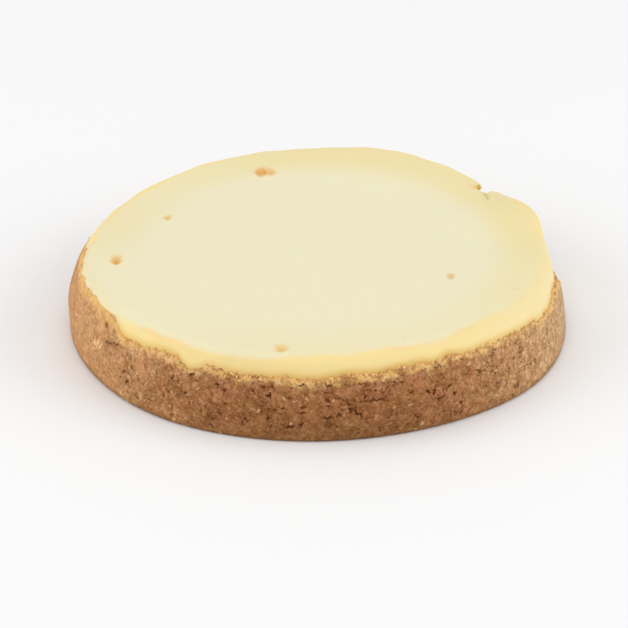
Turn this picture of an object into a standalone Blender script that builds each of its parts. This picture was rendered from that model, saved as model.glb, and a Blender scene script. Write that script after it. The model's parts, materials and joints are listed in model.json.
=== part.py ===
"""Baked cheesecake: a pressed biscuit-crumb cup and the set cheese filling that stands in it.

Metres, +Z up. The origin is the centre of the underside, where the cake rests. An azimuth is
counted in degrees from +X towards +Y, so the front of the cake, at -Y, is at 270 degrees.
"""

import math

import bmesh
import bpy
from mathutils import Matrix, Vector

MM = 0.001

# Driving sizes.
CAKE_RADIUS = 101.5 * MM  # an 8 inch cake, at the widest point of its crust
CAKE_HEIGHT = 34.6 * MM  # the middle of the top
CRUST_FLOOR = 6.0 * MM  # thickness of the crumb under the filling
CRUST_WALL = 4.6 * MM  # thickness of the crumb wall
CRUST_RIM = 26.0 * MM  # usual height of the wall
GAP = 0.3 * MM  # between the crumb and the filling

# The wall: it bellies out low down, and leans in above that.
BELLY_HEIGHT = 8.0 * MM
BELLY_SHIFT = 6.0 * MM  # the belly is this much higher at -X and lower at +X
LEAN = 4.4 * MM
LEAN_SHIFT = 1.1 * MM  # the wall leans in this much more at +X and less at -X
LEAN_POWER = 1.3
LEAN_SWELLS = (  # azimuth, half width, how much more it leans
    (171.0, 31.0, 3.9 * MM),
    (24.0, 16.0, -1.5 * MM),
)
FOOT_SWELLS = (  # azimuth, half width, how much wider the foot is
    (197.0, 32.0, -0.8 * MM),
    (236.0, 30.0, 1.1 * MM),
    (291.0, 34.0, -1.2 * MM),
    (330.0, 24.0, 0.9 * MM),
)
FOOT_REACH = 14.0 * MM  # height over which the foot's own swells fade
FOOT_ROUND = 1.8 * MM  # rounded lower edge of the crumb
RIM_ROUND = 1.2 * MM  # rounded upper edge of the crumb
INNER_ROUND = 3.0 * MM  # where the crumb floor turns up into the wall

# The crumb wall reaches the top of the filling along one stretch.
FULL_RIM = 33.6 * MM
FULL_STRETCH = (175.6, 217.2)
FULL_RAMP = 6.0
FULL_SWELLS = ((213.0, 12.0, -1.4 * MM),)
RIM_SWELLS = (  # azimuth, half width, height
    (105.0, 45.0, 2.2 * MM),
    (230.0, 14.0, 1.4 * MM),
    (246.0, 7.0, 1.2 * MM),
    (297.0, 32.0, 1.8 * MM),
    (340.0, 18.0, -3.0 * MM),
    (9.0, 20.0, -10.5 * MM),
    (24.0, 34.0, -4.5 * MM),
)
RIM_RIPPLES = ((17, 0.35 * MM, 20.0), (29, 0.25 * MM, 75.0))  # waves round, height, phase

# The filling stands on the wall, a little in from the crumb's face.
FILLING_INSET = 1.1 * MM
SHOULDER = 5.0 * MM  # the rounded upper edge of the filling
TOP_LEVELS = (  # azimuth, half width, height against the middle
    (6.0, 14.0, -1.6 * MM),
    (22.0, 18.0, 2.5 * MM),
    (39.0, 11.0, -2.0 * MM),
    (66.0, 34.0, 2.8 * MM),
    (92.0, 52.0, 1.9 * MM),
    (152.0, 40.0, -3.0 * MM),
    (262.0, 60.0, -0.5 * MM),
)
LEVEL_START = 0.55  # share of the radius where the edge's own height begins to tell

# A piece of the edge has broken away, and small bubbles have burst in the oven.
NOTCH_AZIMUTH = 43.5
NOTCH_RADIUS = 96.5 * MM
NOTCH_SIZE = 4.2 * MM
NOTCH_FLARE = 1.6  # how much wider the cut is at its top
NOTCH_DEPTH = 4.5 * MM
BUBBLES = (  # name, azimuth, distance from the middle, radius, depth
    ("blister", 107.3, 73.9 * MM, 3.2 * MM, 1.2 * MM),
    ("left_pit", 187.4, 81.9 * MM, 2.6 * MM, 1.9 * MM),
    ("small_pit", 153.8, 68.9 * MM, 1.6 * MM, 1.0 * MM),
    ("front_pit", 260.9, 88.3 * MM, 2.3 * MM, 1.2 * MM),
)
BUBBLE_LIFT = 0.25  # share of its depth that a bubble's ball sits above the top

# How finely the surfaces are divided.
TURN_STEPS = 120
TOP_SHARES = (0.0, 0.3, 0.55, 0.7, 0.84)  # of the cake's radius, for the points of its top
SIDE_SHARES = (0.6, 0.35)  # of the cake's height, for those of the filling's side
WALL_SHARES = (0.75, 0.5, 0.3)  # of the rim's height, for those of the crumb's face
SHOULDER_STEPS = 5
INNER_STEPS = 4
RIM_STEPS = 2
FOOT_STEPS = 3
BUBBLE_SEGMENTS = 12
BUBBLE_RINGS = 8
NOTCH_SIDES = 3

CUT_CLEAR = 12.0 * MM  # how far a cutter stands out of what it cuts
MERGE = 0.05 * MM
SMOOTH_ANGLE = math.radians(40)

CRUMB_LOOK = {"Base Color": (0.38, 0.20, 0.09, 1.0), "Roughness": 0.9, "Metallic": 0.0}
FILLING_LOOK = {"Base Color": (0.86, 0.79, 0.55, 1.0), "Roughness": 0.55, "Metallic": 0.0}


# ---------------------------------------------------------------- the shape of the cake


def smooth(share):
    """0 to 1 with a soft start and end."""
    share = min(1.0, max(0.0, share))
    return share * share * (3.0 - 2.0 * share)


def turn_between(azimuth, other):
    """The smaller angle between two azimuths, in degrees."""
    return abs((azimuth - other + 180.0) % 360.0 - 180.0)


def swells(azimuth, rows):
    """The sum of soft swells, each given as its azimuth, half width and height."""
    return sum(size * smooth(1.0 - turn_between(azimuth, at) / half) for at, half, size in rows)


def full_share(azimuth):
    """1 where the crumb wall reaches the top of the filling, 0 where it is low."""
    start, end = FULL_STRETCH
    middle, half = (start + end) / 2.0, (end - start) / 2.0
    return smooth((half + FULL_RAMP / 2.0 - turn_between(azimuth, middle)) / FULL_RAMP)


def rim_height(azimuth):
    """Height of the crumb wall's upper edge."""
    ripples = sum(
        height * math.sin(math.radians(waves * azimuth + phase))
        for waves, height, phase in RIM_RIPPLES
    )
    low = CRUST_RIM + swells(azimuth, RIM_SWELLS) + ripples
    full = FULL_RIM + swells(azimuth, FULL_SWELLS)
    return low + (full - low) * full_share(azimuth)


def wall_radius(azimuth, height):
    """Outer radius of the cake at a height, with its belly and lean."""
    right = math.cos(math.radians(azimuth))
    belly = BELLY_HEIGHT - BELLY_SHIFT * right
    lean = LEAN + LEAN_SHIFT * right + swells(azimuth, LEAN_SWELLS)
    above = min(1.0, max(0.0, height - belly) / (CAKE_HEIGHT - belly))
    foot = swells(azimuth, FOOT_SWELLS) * smooth(1.0 - height / FOOT_REACH)
    return CAKE_RADIUS - lean * above**LEAN_POWER + foot


def top_level(azimuth, radius):
    """Height of the top, against its middle, at a distance from the middle."""
    share = (radius / CAKE_RADIUS - LEVEL_START) / (1.0 - LEVEL_START)
    return swells(azimuth, TOP_LEVELS) * smooth(share)


# ---------------------------------------------------------------- tools


def collection(name, hidden=False):
    """A new collection in the scene, for the pieces or for their cutters."""
    made = bpy.data.collections.new(name)
    bpy.context.scene.collection.children.link(made)
    made.hide_render = hidden
    return made


def material(name, look):
    """A Principled material with the values of a look."""
    made = bpy.data.materials.new(name)
    made.use_nodes = True
    shader = made.node_tree.nodes["Principled BSDF"]
    for socket, value in look.items():
        shader.inputs[socket].default_value = value
    made.diffuse_color = look["Base Color"]
    return made


def arc(centre_r, centre_z, size, first, last, steps):
    """Points of an arc in a profile, from one angle to another, in degrees from +X."""
    angles = [math.radians(first + (last - first) * i / steps) for i in range(steps + 1)]
    return [(centre_r + size * math.cos(a), centre_z + size * math.sin(a)) for a in angles]


def turned(name, profile, into):
    """An object turned from a profile of (radius, height) points round Z."""
    mesh = bpy.data.meshes.new(name)
    points = [(radius, 0.0, height) for radius, height in profile]
    mesh.from_pydata(points, [(i, i + 1) for i in range(len(points) - 1)], [])
    blank = bpy.data.objects.new(name + "_blank", mesh)
    into.objects.link(blank)
    screw = blank.modifiers.new("turn", "SCREW")
    screw.steps = screw.render_steps = TURN_STEPS
    screw.use_merge_vertices = True
    screw.merge_threshold = MERGE
    graph = bpy.context.evaluated_depsgraph_get()
    solid = bpy.data.objects.new(name, bpy.data.meshes.new_from_object(blank.evaluated_get(graph)))
    into.objects.link(solid)
    bpy.data.objects.remove(blank)
    return solid


def reshape(obj, place):
    """Moves each point of a turned object: place(azimuth, radius, height) gives the new two."""
    for vertex in obj.data.vertices:
        x, y, height = vertex.co
        radius = math.hypot(x, y)
        azimuth = math.degrees(math.atan2(y, x)) % 360.0
        new_radius, new_height = place(azimuth, radius, height)
        if radius > 0.0:
            x, y = x * new_radius / radius, y * new_radius / radius
        vertex.co = (x, y, new_height)


def cut(obj, cutter):
    """Takes a cutter's shape out of an object with a live Boolean."""
    boolean = obj.modifiers.new(cutter.name, "BOOLEAN")
    boolean.operation = "DIFFERENCE"
    boolean.object = cutter
    cutter.hide_render = True
    cutter.display_type = "WIRE"


def finish(obj, look):
    """Gives a piece its material and its shading."""
    obj.data.materials.append(look)
    obj.data.shade_smooth()
    obj.data.set_sharp_from_angle(angle=SMOOTH_ANGLE)


# ---------------------------------------------------------------- the crumb crust


def cup_profile(allowance):
    """Half section of the crumb cup, from the middle of its floor round to its underside.

    With an allowance it is the room that the cup takes out of the filling: the inner faces
    stand that much further in, and the outer ones stand well clear.
    """
    clear = CUT_CLEAR if allowance else 0.0
    inner = CAKE_RADIUS - CRUST_WALL - allowance
    outer = CAKE_RADIUS + clear
    floor = CRUST_FLOOR + allowance
    rim = CRUST_RIM + allowance
    bottom = -clear
    points = [(0.0, floor)]
    points += arc(inner - INNER_ROUND, floor + INNER_ROUND, INNER_ROUND, -90, 0, INNER_STEPS)
    points += [(inner, (floor + rim) / 2.0)]
    points += arc(inner + RIM_ROUND, rim - RIM_ROUND, RIM_ROUND, 180, 90, RIM_STEPS)
    points += arc(outer - RIM_ROUND, rim - RIM_ROUND, RIM_ROUND, 90, 0, RIM_STEPS)
    points += [(outer, rim * share) for share in WALL_SHARES]
    points += arc(outer - FOOT_ROUND, bottom + FOOT_ROUND, FOOT_ROUND, 0, -90, FOOT_STEPS)
    return points + [(0.0, bottom)]


def make_cup(name, into, allowance=0.0):
    """The crumb cup, or with an allowance the cutter that makes room for it."""

    def place(azimuth, radius, height):
        if height > CRUST_FLOOR:
            stretch = (rim_height(azimuth) - CRUST_FLOOR) / (CRUST_RIM - CRUST_FLOOR)
            height = CRUST_FLOOR + (height - CRUST_FLOOR) * stretch
            if allowance and radius > CAKE_RADIUS - CRUST_WALL:
                height += CUT_CLEAR * full_share(azimuth)
        return radius * wall_radius(azimuth, height) / CAKE_RADIUS, height

    cup = turned(name, cup_profile(allowance), into)
    reshape(cup, place)
    return cup


# ---------------------------------------------------------------- the filling


def filling_profile():
    """Half section of the filling before the cup is taken out of it."""
    outer = CAKE_RADIUS - FILLING_INSET
    points = [(CAKE_RADIUS * share, CAKE_HEIGHT) for share in TOP_SHARES]
    centre = (outer - SHOULDER, CAKE_HEIGHT - SHOULDER)
    points += arc(*centre, SHOULDER, 90, 0, SHOULDER_STEPS)
    points += [(outer, CAKE_HEIGHT * share) for share in SIDE_SHARES]
    return points + [(outer, -GAP), (0.0, -GAP)]


def make_filling(into, cutters):
    """The set filling: a turned body, sunk and swollen at its edge, less the crumb cup."""

    def place(azimuth, radius, height):
        height += top_level(azimuth, radius) * smooth(height / CAKE_HEIGHT)
        return radius * wall_radius(azimuth, height) / CAKE_RADIUS, height

    filling = turned("cheese_filling", filling_profile(), into)
    reshape(filling, place)
    cut(filling, make_cup("cup_room", cutters, allowance=GAP))
    cut(filling, make_notch(cutters))
    for name, azimuth, distance, size, depth in BUBBLES:
        cut(filling, make_bubble(name, azimuth, distance, size, depth, cutters))
    return filling


def on_top(azimuth, distance):
    """The point of the top at an azimuth and a distance from the middle."""
    turn = math.radians(azimuth)
    height = CAKE_HEIGHT + top_level(azimuth, distance)
    return Vector((distance * math.cos(turn), distance * math.sin(turn), height))


def primitive(name, into, make, **sizes):
    """A mesh object from one of bmesh's primitives."""
    shape = bmesh.new()
    make(shape, **sizes)
    mesh = bpy.data.meshes.new(name)
    shape.to_mesh(mesh)
    shape.free()
    obj = bpy.data.objects.new(name, mesh)
    into.objects.link(obj)
    return obj


def make_notch(into):
    """The three-sided cut where the filling's edge has broken, with one corner pointing in."""
    notch = primitive(
        "edge_notch",
        into,
        bmesh.ops.create_cone,
        cap_ends=True,
        segments=NOTCH_SIDES,
        radius1=NOTCH_SIZE,
        radius2=NOTCH_SIZE * NOTCH_FLARE,
        depth=2.0 * NOTCH_DEPTH,
    )
    notch.location = on_top(NOTCH_AZIMUTH, NOTCH_RADIUS)
    notch.rotation_euler.z = math.radians(NOTCH_AZIMUTH)
    return notch


def make_bubble(name, azimuth, distance, size, depth, into):
    """A flattened ball that leaves the hollow of a burst bubble."""
    ball = primitive(
        name,
        into,
        bmesh.ops.create_uvsphere,
        u_segments=BUBBLE_SEGMENTS,
        v_segments=BUBBLE_RINGS,
        radius=size,
    )
    ball.data.transform(Matrix.Diagonal((1.0, 1.0, depth / size, 1.0)))
    ball.location = on_top(azimuth, distance) + Vector((0.0, 0.0, BUBBLE_LIFT * depth))
    return ball


def main():
    for obj in list(bpy.data.objects):
        bpy.data.objects.remove(obj)
    pieces = collection("baked_cheesecake")
    cutters = collection("cutters")
    finish(make_cup("crumb_crust", pieces), material("crumb", CRUMB_LOOK))
    finish(make_filling(pieces, cutters), material("filling", FILLING_LOOK))


main()
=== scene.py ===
"""The looks of a baked cheesecake: its pressed crumb crust, its loose crumbs and its set filling.

Lengths are in metres unless a name ends in mm, +Z is up, and the cake stands on the floor at the
origin. An azimuth is counted in degrees from +X towards +Y, so the front, at -Y, is at 270.
"""

import json
import logging
import math
from collections.abc import Callable, Sequence
from dataclasses import dataclass, field
from enum import Enum

import bmesh
import bpy
import numpy as np
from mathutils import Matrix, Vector

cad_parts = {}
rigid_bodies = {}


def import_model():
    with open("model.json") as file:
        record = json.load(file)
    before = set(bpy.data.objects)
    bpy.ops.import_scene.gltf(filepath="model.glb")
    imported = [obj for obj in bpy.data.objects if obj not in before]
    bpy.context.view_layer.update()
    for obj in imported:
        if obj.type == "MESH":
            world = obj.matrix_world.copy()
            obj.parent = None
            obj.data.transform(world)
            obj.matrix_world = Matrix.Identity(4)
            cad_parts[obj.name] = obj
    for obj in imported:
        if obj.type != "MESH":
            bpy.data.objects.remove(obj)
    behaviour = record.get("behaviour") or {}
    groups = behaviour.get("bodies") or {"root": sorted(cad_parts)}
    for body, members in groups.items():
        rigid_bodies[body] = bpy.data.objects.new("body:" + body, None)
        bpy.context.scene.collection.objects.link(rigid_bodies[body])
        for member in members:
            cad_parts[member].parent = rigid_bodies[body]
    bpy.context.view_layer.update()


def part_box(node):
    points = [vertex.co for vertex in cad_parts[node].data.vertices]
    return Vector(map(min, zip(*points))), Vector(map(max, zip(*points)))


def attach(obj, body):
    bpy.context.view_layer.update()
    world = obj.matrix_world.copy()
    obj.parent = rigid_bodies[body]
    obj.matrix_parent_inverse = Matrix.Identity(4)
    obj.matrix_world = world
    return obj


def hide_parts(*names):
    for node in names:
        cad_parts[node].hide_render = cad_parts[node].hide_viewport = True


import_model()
MM = 0.001
BODY = "root"

Colour = tuple[float, float, float, float]
Swells = Sequence[tuple[float, float, float]]  # azimuth, half width in degrees, height
log = logging.getLogger("cheesecake")


class Node(str, Enum):
    """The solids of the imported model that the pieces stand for."""

    CRUST = "crumb_crust"
    FILLING = "cheese_filling"


class Slot(str, Enum):
    """The record's material slots."""

    CRUMB = "crumb"
    FILLING = "filling"


class Mark(str, Enum):
    """What a mesh carries from point to point for its material."""

    REST = "rest_place"  # where a point of the crumb was before its relief
    LOOSE = "looseness"  # how loosely the crumb is packed
    PALE = "paleness"  # how pale the crumb is: paler towards the left, the right and the back, and near the rim
    STAIN = "stain"  # how much fat from the filling has soaked in; on the filling also a painted shade along the notch's groove
    FOOT = "foot"  # how near the tin's corner, where the crumb is pressed smooth, with painted shade along the foot and low on the front
    RIM = "rim"  # how near the crumb's upper edge
    HOLLOW = "hollow"  # painted shade in a crevice, by how deep in it
    CHIP = "chip"  # on a large pale crumb
    DUST = "dust"  # how dry and grey the crumb is
    BAND = "band"  # from the pale skin of the top to the yellow side of the filling
    RING = "ring"  # the slightly deeper cream towards the edge of the top
    SEAM = "seam"  # the browner line where the skin ends
    TOAST = "toast"  # how far the filling is browned
    TINT = "tint"  # a loose crumb's own shade
    SIZE = "size"  # a loose crumb's size
    TURN = "turn"  # how a loose crumb is turned
    KIND = "kind"  # which shape a loose crumb has


# ---------------------------------------------------------------- small tools


def paint(red: int, green: int, blue: int) -> Colour:
    """Turns a colour from 0 to 255 a channel into the linear one that shaders take."""
    shares = (np.array([red, green, blue]) / 255.0).tolist()
    linear = [s / 12.92 if s <= 0.04045 else ((s + 0.055) / 1.055) ** 2.4 for s in shares]
    return (*linear, 1.0)


def smooth(share: np.ndarray) -> np.ndarray:
    """Gives 0 to 1 with a soft start and end."""
    share = np.clip(share, 0.0, 1.0)
    return share * share * (3.0 - 2.0 * share)


def turn_between(azimuth: np.ndarray, other: float) -> np.ndarray:
    """Gives the smaller angle between azimuths and another one, in degrees."""
    return np.abs((azimuth - other + 180.0) % 360.0 - 180.0)


def swells(azimuth: np.ndarray, rows: Swells) -> np.ndarray:
    """Adds up soft swells round the cake.

    Args:
        azimuth: Where to read them, in degrees.
        rows: Each swell's azimuth, half width in degrees, and height.

    Returns:
        The sum of the swells at each azimuth.
    """
    return sum(size * smooth(1.0 - turn_between(azimuth, at) / half) for at, half, size in rows)


def ripple(azimuth: np.ndarray, seed: int, waves: tuple[int, int], size: float) -> np.ndarray:
    """Makes an uneven line that closes on itself round the cake.

    Args:
        azimuth: Where to read it, in degrees.
        seed: Picks the line.
        waves: The fewest and the most waves round the cake.
        size: Its usual distance from the middle line.

    Returns:
        The height of the line at each azimuth.
    """
    counts = np.unique(np.geomspace(*waves, 32).astype(int))
    phases = np.random.default_rng(seed).uniform(0.0, 360.0, counts.size)
    weights = (counts[0] / counts) ** 0.5
    total = np.zeros_like(azimuth)
    for count, phase, weight in zip(counts, phases, weights):
        total += weight * np.sin(np.radians(count * azimuth + phase))
    return size * total / math.sqrt(float((weights**2).sum()) / 2.0)


def arc(
    centre: tuple[float, float], size: float, first: float, last: float, steps: int
) -> list[tuple[float, float]]:
    """Lists the points of an arc in a profile.

    Args:
        centre: Its centre, as (radius, height).
        size: Its own radius.
        first: The angle where it starts, in degrees from +radius towards +height.
        last: The angle where it ends.
        steps: How many straight steps it has.

    Returns:
        The points, with both ends.
    """
    angles = np.radians(np.linspace(first, last, steps + 1))
    return [(centre[0] + size * math.cos(a), centre[1] + size * math.sin(a)) for a in angles]


def line(start: tuple[float, float], end: tuple[float, float], spacing: float) -> list:
    """Lists the points of a straight line in a profile, without its start."""
    start, end = np.array(start), np.array(end)
    steps = max(1, round(float(np.linalg.norm(end - start)) / spacing))
    return [tuple(start + (end - start) * i / steps) for i in range(1, steps + 1)]


# ---------------------------------------------------------------- work on meshes


def only(obj: bpy.types.Object) -> None:
    """Makes an object the one that is selected and active."""
    bpy.ops.object.select_all(action="DESELECT")
    obj.select_set(True)
    bpy.context.view_layer.objects.active = obj


def points_of(obj: bpy.types.Object) -> np.ndarray:
    """Reads the places of an object's points, one a row."""
    flat = np.empty(len(obj.data.vertices) * 3)
    obj.data.vertices.foreach_get("co", flat)
    return flat.reshape(-1, 3)


def move_points(obj: bpy.types.Object, places: np.ndarray) -> None:
    """Puts an object's points at new places."""
    obj.data.vertices.foreach_set("co", places.astype(np.float32).ravel())
    obj.data.update()


def store(obj: bpy.types.Object, mark: Mark, values: np.ndarray) -> None:
    """Stores a value at each point of an object for its material."""
    attribute = obj.data.attributes.get(mark.value)
    if attribute is None:
        attribute = obj.data.attributes.new(mark.value, "FLOAT", "POINT")
    attribute.data.foreach_set("value", values.astype(np.float32))


def polar(places: np.ndarray) -> tuple[np.ndarray, np.ndarray, np.ndarray]:
    """Turns places into azimuths in degrees, distances from the axis and heights."""
    x, y, height = places.T
    return np.degrees(np.arctan2(y, x)) % 360.0, np.hypot(x, y), height


def from_polar(azimuth: np.ndarray, radius: np.ndarray, height: np.ndarray) -> np.ndarray:
    """Turns azimuths in degrees, distances from the axis and heights into places."""
    turn = np.radians(azimuth)
    return np.stack([radius * np.cos(turn), radius * np.sin(turn), height], axis=1)


def turned(name: str, profile: Sequence[tuple[float, float]], steps: int) -> bpy.types.Object:
    """Turns a profile round Z into a closed skin.

    Args:
        name: The new object's name.
        profile: Points of half its section, as (radius, height).
        steps: How many steps the turn has.

    Returns:
        The new object, at the origin.
    """
    bpy.ops.object.select_all(action="DESELECT")
    bpy.ops.mesh.primitive_circle_add(vertices=3, radius=MM, fill_type="NOTHING")
    obj = bpy.context.active_object
    obj.name = obj.data.name = name
    bpy.ops.object.mode_set(mode="EDIT")
    bpy.ops.mesh.select_mode(type="VERT")
    bpy.ops.mesh.select_all(action="SELECT")
    bpy.ops.mesh.merge(type="CENTER")
    place = Vector()
    for i, (radius, height) in enumerate(profile):
        step = Vector((radius, 0.0, height)) - place
        place += step
        if i == 0:
            bpy.ops.transform.translate(value=step)
        else:
            bpy.ops.mesh.extrude_region_move(TRANSFORM_OT_translate={"value": step})
    bpy.ops.object.mode_set(mode="OBJECT")
    turn = obj.modifiers.new("turn", "SCREW")
    turn.steps = turn.render_steps = steps
    turn.use_merge_vertices = True
    turn.merge_threshold = WELD
    apply_modifiers(obj)
    bpy.ops.object.mode_set(mode="EDIT")
    bpy.ops.mesh.select_all(action="SELECT")
    bpy.ops.mesh.normals_make_consistent(inside=False)
    bpy.ops.object.mode_set(mode="OBJECT")
    bpy.ops.object.shade_smooth()
    return obj


def refine(
    obj: bpy.types.Object, near: Callable[[Vector], bool], cuts: int
) -> None:
    """Divides the faces of an object that lie near something.

    Args:
        obj: The object.
        near: Says of a face's middle whether it is near.
        cuts: How many cuts each edge of such a face gets.
    """
    only(obj)
    bpy.ops.object.mode_set(mode="EDIT")
    bpy.ops.mesh.select_mode(type="FACE")
    bpy.ops.mesh.select_all(action="DESELECT")
    mesh = bmesh.from_edit_mesh(obj.data)
    for face in mesh.faces:
        if near(face.calc_center_median()):
            face.select_set(True)
    bmesh.update_edit_mesh(obj.data)
    bpy.ops.mesh.subdivide(number_cuts=cuts)
    bpy.ops.object.mode_set(mode="OBJECT")


def apply_modifiers(obj: bpy.types.Object) -> None:
    """Applies all of an object's modifiers, first to last."""
    only(obj)
    for modifier in list(obj.modifiers):
        bpy.ops.object.modifier_apply(modifier=modifier.name)


WELD = 0.02 * MM


# ---------------------------------------------------------------- work on node trees


class Sheet:
    """A node tree on which nodes are laid and linked, for shaders and for geometry alike."""

    def __init__(self, tree: bpy.types.NodeTree) -> None:
        """Starts on a tree."""
        self.tree = tree

    def add(self, kind: str, inputs: dict | None = None, **settings: object) -> bpy.types.Node:
        """Adds a node.

        Args:
            kind: The node's type.
            inputs: Values or sockets for its inputs, by name or number.
            **settings: Its own settings.

        Returns:
            The node.
        """
        node = self.tree.nodes.new(kind)
        for name, value in settings.items():
            setattr(node, name, value)
        for key, value in (inputs or {}).items():
            self.feed(node.inputs[key], value)
        return node

    def feed(self, socket: bpy.types.NodeSocket, value: object) -> None:
        """Links a socket to an input, or sets the input's own value."""
        if isinstance(value, bpy.types.NodeSocket):
            self.tree.links.new(value, socket)
        else:
            socket.default_value = value

    def math(self, operation: str, a: object, b: object = 0.0) -> bpy.types.NodeSocket:
        """Adds a sum of two numbers and gives its result."""
        return self.add("ShaderNodeMath", {0: a, 1: b}, operation=operation).outputs[0]

    def scaled(self, vector: object, factor: float | tuple) -> bpy.types.NodeSocket:
        """Multiplies a vector by a number, or by another vector part by part."""
        factor = factor if isinstance(factor, tuple) else (factor,) * 3
        inputs = {0: vector, 1: factor}
        return self.add("ShaderNodeVectorMath", inputs, operation="MULTIPLY").outputs[0]

    def summed(self, a: object, b: object) -> bpy.types.NodeSocket:
        """Adds two vectors."""
        return self.add("ShaderNodeVectorMath", {0: a, 1: b}, operation="ADD").outputs[0]

    def ramp(
        self, value: object, start: float, end: float, low: float = 0.0, high: float = 1.0
    ) -> bpy.types.NodeSocket:
        """Passes a number through a soft step.

        Args:
            value: The number.
            start: Where the step begins.
            end: Where it ends.
            low: What it gives before its start.
            high: What it gives past its end.

        Returns:
            The result.
        """
        inputs = {0: value, 1: start, 2: end, 3: low, 4: high}
        node = self.add("ShaderNodeMapRange", inputs, interpolation_type="SMOOTHSTEP")
        return node.outputs[0]

    def mix(self, share: object, a: object, b: object, blend: str = "MIX") -> bpy.types.NodeSocket:
        """Mixes two colours by a share."""
        inputs = {0: share, 6: a, 7: b}
        return self.add("ShaderNodeMix", inputs, data_type="RGBA", blend_type=blend).outputs[2]

    def noise(self, place: object, size_mm: float, detail: float = 2.0) -> bpy.types.Node:
        """Adds soft noise whose blots are about a size, read at a place in millimetres."""
        inputs = {"Vector": place, "Scale": 1.0 / size_mm, "Detail": detail}
        return self.add("ShaderNodeTexNoise", inputs)

    def cells(self, place: object, size_mm: float, feature: str = "F1") -> bpy.types.Node:
        """Adds a packing of grains of about a size, read at a place in millimetres."""
        inputs = {"Vector": place, "Scale": 1.0 / size_mm}
        return self.add("ShaderNodeTexVoronoi", inputs, feature=feature)

    def parts(self, colour: object) -> list[bpy.types.NodeSocket]:
        """Splits a vector or a colour into its three numbers."""
        return list(self.add("ShaderNodeSeparateXYZ", {0: colour}).outputs)


def make_group(
    name: str, inputs: dict[str, str], outputs: dict[str, str], kind: str = "ShaderNodeTree"
) -> tuple[bpy.types.NodeTree, Sheet, bpy.types.Node, bpy.types.Node]:
    """Makes an empty node group.

    Args:
        name: The group's name.
        inputs: Its inputs' names, and the kind of each.
        outputs: Its outputs' names, and the kind of each.
        kind: The kind of tree it goes in.

    Returns:
        The group, a sheet on it, and the nodes that hold its inputs and its outputs.
    """
    tree = bpy.data.node_groups.new(name, kind)
    for in_out, sockets in (("INPUT", inputs), ("OUTPUT", outputs)):
        for label, socket in sockets.items():
            tree.interface.new_socket(label, in_out=in_out, socket_type="NodeSocket" + socket)
    sheet = Sheet(tree)
    return tree, sheet, sheet.add("NodeGroupInput"), sheet.add("NodeGroupOutput")


# ---------------------------------------------------------------- the cake's form


@dataclass(frozen=True)
class CakeForm:
    """The outline that the crumb and the filling share."""

    radius: float  # at the crumb's widest point
    full_rim: float  # height of the crumb where it reaches the top of the filling
    height: float = 34.6 * MM  # the middle of the top
    floor: float = 6.0 * MM
    wall: float = 4.6 * MM
    rim: float = 26.0 * MM
    gap: float = 0.3 * MM
    belly: float = 8.0 * MM
    belly_shift: float = 6.0 * MM
    lean: float = 4.4 * MM
    lean_shift: float = 1.1 * MM
    lean_power: float = 1.3
    lean_swells: Swells = ((171.0, 31.0, 3.9 * MM), (24.0, 16.0, -1.5 * MM))
    foot_swells: Swells = (
        (197.0, 32.0, -0.8 * MM),
        (291.0, 34.0, -1.2 * MM),
        (330.0, 24.0, 0.9 * MM),
        (236.0, 30.0, 1.1 * MM),
    )
    foot_reach: float = 14.0 * MM  # height over which the foot's own swells fade
    full_stretch: tuple[float, float] = (175.6, 217.2)
    full_ramp: float = 6.5
    full_swells: Swells = ((213.0, 12.0, -1.4 * MM),)
    rim_swells: Swells = (
        (105.0, 45.0, 2.2 * MM),
        (230.0, 14.0, 1.4 * MM),
        (240.0, 4.0, -2.6 * MM),
        (246.0, 7.0, 1.2 * MM),
        (297.0, 32.0, 1.8 * MM),
        (340.0, 18.0, -3.0 * MM),
        (9.0, 20.0, -10.5 * MM),
        (24.0, 34.0, -4.5 * MM),
    )
    top_swells: Swells = (
        (6.0, 14.0, -1.6 * MM),
        (22.0, 18.0, 2.5 * MM),
        (66.0, 34.0, 2.8 * MM),
        (92.0, 52.0, 1.9 * MM),
        (152.0, 40.0, -3.0 * MM),
        (262.0, 60.0, -0.5 * MM),
    )
    level_start: float = 0.55  # share of the radius where the edge's own height begins to tell

    def full_share(self, azimuth: np.ndarray) -> np.ndarray:
        """Gives 1 where the crumb reaches the top of the filling and 0 where it is low."""
        start, end = self.full_stretch
        past = (end - start + self.full_ramp) / 2.0 - turn_between(azimuth, (start + end) / 2.0)
        return smooth(past / self.full_ramp)

    def rim_height(self, azimuth: np.ndarray, crumbling: float = 1.0) -> np.ndarray:
        """Gives the height of the crumb's upper edge, with a share of its crumbling."""
        low = self.rim + swells(azimuth, self.rim_swells) + ripple(azimuth, 4, (14, 70), 0.32 * MM)
        low = low + crumbling * ripple(azimuth, 5, (80, 400), 0.3 * MM)
        full = self.full_rim + crumbling * ripple(azimuth, 6, (20, 200), 0.25 * MM)
        full = full + swells(azimuth, self.full_swells)
        return low + (full - low) * self.full_share(azimuth)

    def wall_radius(self, azimuth: np.ndarray, height: np.ndarray) -> np.ndarray:
        """Gives the cake's outer radius at a height, with its belly and its lean."""
        right = np.cos(np.radians(azimuth))
        belly = self.belly - self.belly_shift * right
        above = np.clip((height - belly) / (self.height - belly), 0.0, 1.0)
        lean = self.lean + self.lean_shift * right + swells(azimuth, self.lean_swells)
        foot = swells(azimuth, self.foot_swells) * smooth(1.0 - height / self.foot_reach)
        return self.radius - lean * above**self.lean_power + foot

    def top_level(self, azimuth: np.ndarray, radius: np.ndarray) -> np.ndarray:
        """Gives the height of the top against its middle."""
        share = (radius / self.radius - self.level_start) / (1.0 - self.level_start)
        return swells(azimuth, self.top_swells) * smooth(share)


# ---------------------------------------------------------------- finishes


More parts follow.
